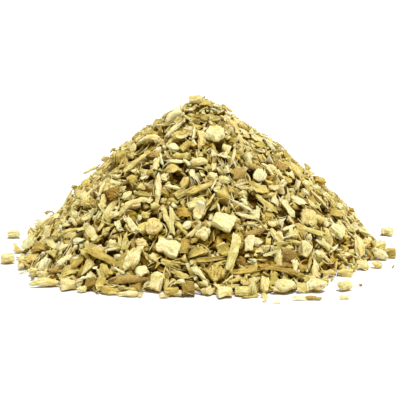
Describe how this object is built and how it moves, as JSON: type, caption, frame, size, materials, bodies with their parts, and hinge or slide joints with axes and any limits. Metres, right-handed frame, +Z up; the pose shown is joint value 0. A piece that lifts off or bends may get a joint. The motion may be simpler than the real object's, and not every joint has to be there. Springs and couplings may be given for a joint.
{
  "type": "marshmallow root",
  "caption": "Loose conical heap of dried marshmallow root, cut and sifted into pale chips, fibrous splinters and strips of bark.",
  "frame": {"origin": "middle of the heap's footprint, on the surface that it rests on", "axes": "+Z up through the heap's top, +X along its widest extent, and -Y the side that the picture shows"},
  "size_m": [0.146, 0.1418, 0.0563],
  "materials": {
    "small_chips": "matte",
    "pith": "matte",
    "wood": "matte",
    "bark": "matte"
  },
  "bodies": {
    "root": {"mound_of_chips": "small_chips", "long_chip_front_left": "pith", "block_front_left": "pith", "bark_block_front": "bark", "flat_chip_front": "pith", "bright_cube_front": "pith", "block_front": "pith", "fibrous_block_front": "wood", "bark_curl_front": "bark", "bright_stick_front": "pith", "root_wedge_front": "wood", "long_stick_front": "pith", "chunk_front": "pith", "tilted_block_front": "pith", "small_block_front": "pith", "large_chunk_front": "pith", "round_chunk_front_right": "pith", "bark_strip_front": "bark", "loose_chunk_right": "pith", "loose_bark_splinter": "bark", "flat_chip_right": "pith", "upright_chunk_right": "pith", "outer_stick_right": "pith", "loose_round_chunk_right": "pith", "outer_chunk_right": "wood", "loose_chunk_far_left": "pith", "loose_chunk_left": "pith", "bright_block_left": "pith", "oval_flake_left": "wood", "long_stick_left": "wood", "knuckle_chunk": "pith", "broad_bright_chunk": "pith", "bright_flake": "pith", "split_stick": "pith", "fibrous_lump": "wood", "large_bright_chunk": "pith", "round_chunk": "pith", "upright_bright_chunk": "pith", "bright_chunk_right": "pith", "chunk_right": "pith", "long_chip_left": "pith", "root_disc_left": "wood", "bent_stick_left": "pith", "brown_lump": "bark", "long_stick_upper_left": "pith", "bent_stick_upper_left": "pith", "root_wedge_upper_left": "wood", "bright_flake_upper": "pith", "pale_lump_upper": "pith", "bright_stick_upper_right": "pith", "bright_chunk_upper_right": "pith", "pale_flake_upper_right": "pith", "bright_chip_summit": "pith", "summit_chunk": "pith", "chunk_back": "pith", "stick_back": "wood", "strip_back": "bark", "wedge_back": "wood", "loose_chunk_back": "pith"}
  },
  "joints": []
}
